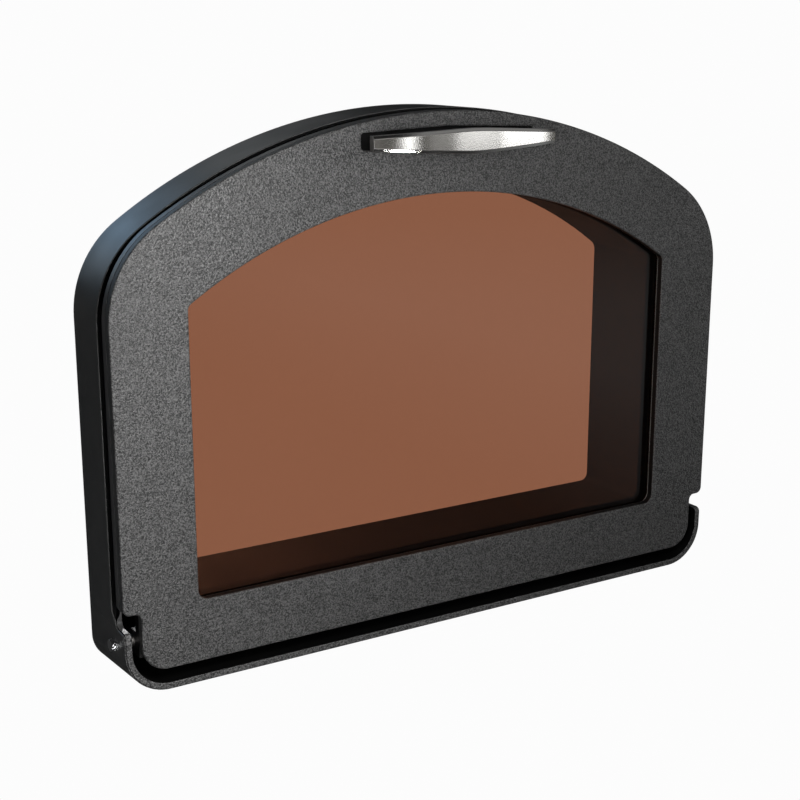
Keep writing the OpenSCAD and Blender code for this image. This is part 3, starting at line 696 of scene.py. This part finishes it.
# the floor's glow in reflections is a painted reflection: its tone goes from left to right over x, and to
# the far one over the distance
stage = {
    "floorHalf": 9.0, "white": 0.975, "floorBounce": 0.45, "worldLight": 0.02,
    "leftMirrored": (0.035, 0.035, 0.035), "rightMirrored": (0.28, 0.29, 0.29), "left": 0.25, "right": 0.75,
    "farMirrored": (0.115, 0.11, 0.10), "near": 1.6, "far": 3.0,
}


def grey(level):
    return level, level, level, 1


def seenDirectly(tree, path):
    # 1 for rays from the camera and through the glass
    seen = addNode(tree, "ShaderNodeMath", operation="MAXIMUM")
    tree.links.new(path.outputs["Is Camera Ray"], seen.inputs[0])
    tree.links.new(path.outputs["Is Transmission Ray"], seen.inputs[1])
    return seen.outputs[0]


def mixLooks(tree, flag, usual, flagged):
    mix = addNode(tree, "ShaderNodeMixShader")
    for socket, output in zip(mix.inputs, (flag, usual, flagged)):
        tree.links.new(output, socket)
    return mix.outputs[0]


def floorMaterial():
    # plain white to the eye and through the glass, a dim painted reflection to glossy rays, a pale floor to
    # all other light
    material = bpy.data.materials.new("floor")
    material.use_nodes = True
    tree = material.node_tree
    tree.nodes.clear()
    path = addNode(tree, "ShaderNodeLightPath")
    pale = addNode(tree, "ShaderNodeBsdfDiffuse", Color=grey(stage["floorBounce"]))
    white = addNode(tree, "ShaderNodeEmission", Color=grey(stage["white"]), Strength=1.0)
    dim = addNode(tree, "ShaderNodeEmission", Strength=1.0)
    away = addNode(tree, "ShaderNodeVectorMath", operation="LENGTH")
    place = addNode(tree, "ShaderNodeTexCoord").outputs["Object"]
    parts = addNode(tree, "ShaderNodeSeparateXYZ")
    tree.links.new(place, away.inputs[0])
    tree.links.new(place, parts.inputs[0])
    across = mapRange(tree, parts.outputs["X"], 0.0, 1.0, stage["left"], stage["right"])
    beside = colourRamp(tree, across, (0.0, stage["leftMirrored"]), (1.0, stage["rightMirrored"]))
    tones = addNode(tree, "ShaderNodeMix", data_type="RGBA")
    tones.inputs["B"].default_value = (*stage["farMirrored"], 1)
    tree.links.new(mapRange(tree, away.outputs["Value"], 0.0, 1.0, stage["near"], stage["far"]),
                   tones.inputs["Factor"])
    tree.links.new(beside, tones.inputs["A"])
    tree.links.new(tones.outputs["Result"], dim.inputs["Color"])
    shown = mixLooks(tree, path.outputs["Is Glossy Ray"], pale.outputs[0], dim.outputs[0])
    shown = mixLooks(tree, seenDirectly(tree, path), shown, white.outputs[0])
    out = addNode(tree, "ShaderNodeOutputMaterial")
    tree.links.new(shown, out.inputs["Surface"])
    return material


def addFloor():
    half = stage["floorHalf"]
    corners = [(-half, -half, 0), (half, -half, 0), (half, half, 0), (-half, half, 0)]
    mesh = bpy.data.meshes.new("floor")
    mesh.from_pydata(corners, [], [(0, 1, 2, 3)])
    mesh.materials.append(floorMaterial())
    floor = bpy.data.objects.new("floor", mesh)
    scene.collection.objects.link(floor)


def addWorld():
    # white where it is seen directly, soft grey light elsewhere
    world = bpy.data.worlds.new("studio")
    scene.world = world
    world.use_nodes = True
    tree = world.node_tree
    tree.nodes.clear()
    path = addNode(tree, "ShaderNodeLightPath")
    soft = addNode(tree, "ShaderNodeBackground", Color=grey(1), Strength=stage["worldLight"])
    white = addNode(tree, "ShaderNodeBackground", Color=grey(stage["white"]), Strength=1.0)
    out = addNode(tree, "ShaderNodeOutputWorld")
    tree.links.new(mixLooks(tree, seenDirectly(tree, path), soft.outputs[0], white.outputs[0]),
                   out.inputs["Surface"])


# each lamp is a rectangle, white where no colour is given, and wide where no spread is given
lamps = {
    "keyNear": {"at": (-0.24, -0.42, 0.43), "to": (-0.24, 0, 0.33), "size": (0.16, 0.16), "power": 1.85},
    "keyHigh": {"at": (0.02, -0.80, 0.66), "to": (0.0, 0, 0.40), "size": (0.4, 0.4), "power": 0.5},
    "keyLow": {"at": (-0.35, -0.50, 0.09), "to": (-0.27, 0, 0.07), "size": (0.3, 0.2), "power": 1.45},
    "strip": {"at": (0.25, -1.84, 0.40), "to": (0, 0, 0.42), "size": (0.13, 0.5), "power": 0.40},
    "panelSoft": {"at": (0.835, -2.14, 0.72), "to": (0, 0, 0.42), "size": (0.46, 1.0), "power": 0.36},
    "panelNear": {"at": (1.32, -1.95, 0.72), "to": (0, 0, 0.42), "size": (0.69, 1.0), "power": 2.5},
    "panelFar": {"at": (1.93, -1.40, 0.72), "to": (0, 0, 0.42), "size": (0.91, 1.0), "power": 5.8},
    "backLeft": {"at": (-0.95, 1.80, 0.85), "to": (-0.2, 0, 0.35), "size": (0.6, 0.6), "power": 1.35,
                 "colour": (0.70, 0.86, 1)},
    "backMid": {"at": (-0.70, 1.85, 0.95), "to": (-0.2, 0, 0.35), "size": (0.5, 0.5), "power": 0.8,
                "colour": (0.50, 0.74, 1)},
    "backTop": {"at": (-0.35, 1.90, 1.10), "to": (-0.2, 0, 0.35), "size": (0.6, 0.6), "power": 2.0,
                "colour": (0.50, 0.74, 1)},
    "backRight": {"at": (0.55, 1.90, 0.95), "to": (0, 0, 0.35), "size": (0.6, 0.6), "power": 0.2},
    "backLow": {"at": (0.45, 1.90, 0.85), "to": (-0.20, 0.05, 0.0), "size": (0.3, 0.22), "power": 0.05,
                "spread": 16},
    "backArch": {"at": (0.12, 1.85, 1.50), "to": (0, 0, 0.42), "size": (0.8, 0.4), "power": 0.75,
                 "colour": (0.90, 0.97, 1)},
    "ceiling": {"at": (1.0, -0.85, 1.9), "to": (0, 0, 0.42), "size": (2.4, 0.9), "power": 1.3},
    "glint": {"at": (0.032, -0.19, 0.03), "to": (-0.064, -0.071, 0.41), "size": (0.03, 0.03), "power": 0.004,
              "spread": 30},
}


def addLamps():
    for name, spec in lamps.items():
        light = bpy.data.lights.new(name, "AREA")
        light.shape = "RECTANGLE"
        light.size, light.size_y = spec["size"]
        light.energy = spec["power"]
        light.color = spec.get("colour", (1, 1, 1))
        light.spread = math.radians(spec.get("spread", 180))
        lamp = bpy.data.objects.new(name, light)
        # no lit square in the picture, seen directly or through the glass
        lamp.visible_camera = False
        lamp.visible_transmission = False
        lamp.location = Vector(spec["at"])
        lamp.rotation_euler = (Vector(spec["to"]) - lamp.location).to_track_quat("-Z", "Y").to_euler()
        scene.collection.objects.link(lamp)


camera = {
    "at": (-0.65553, -0.98980, 0.50773),      # from the middle of the door's face at the floor
    "turn": 31.531, "down": 14.399, "lens": 64.26, "sensor": 36, "shift": 0.5 / 800,
}


def addCamera():
    data = bpy.data.cameras.new("camera")
    data.lens = camera["lens"]
    data.sensor_width = camera["sensor"]
    data.shift_x = -camera["shift"]
    data.shift_y = camera["shift"]
    eye = bpy.data.objects.new("camera", data)
    eye.location = Vector(camera["at"]) + Vector((0, faceY, 0))
    eye.rotation_euler = (math.radians(90 - camera["down"]), 0, math.radians(-camera["turn"]))
    scene.collection.objects.link(eye)
    scene.camera = eye


addFloor()
addWorld()
addLamps()
addCamera()
scene.view_settings.view_transform = "Standard"
print("stage done")
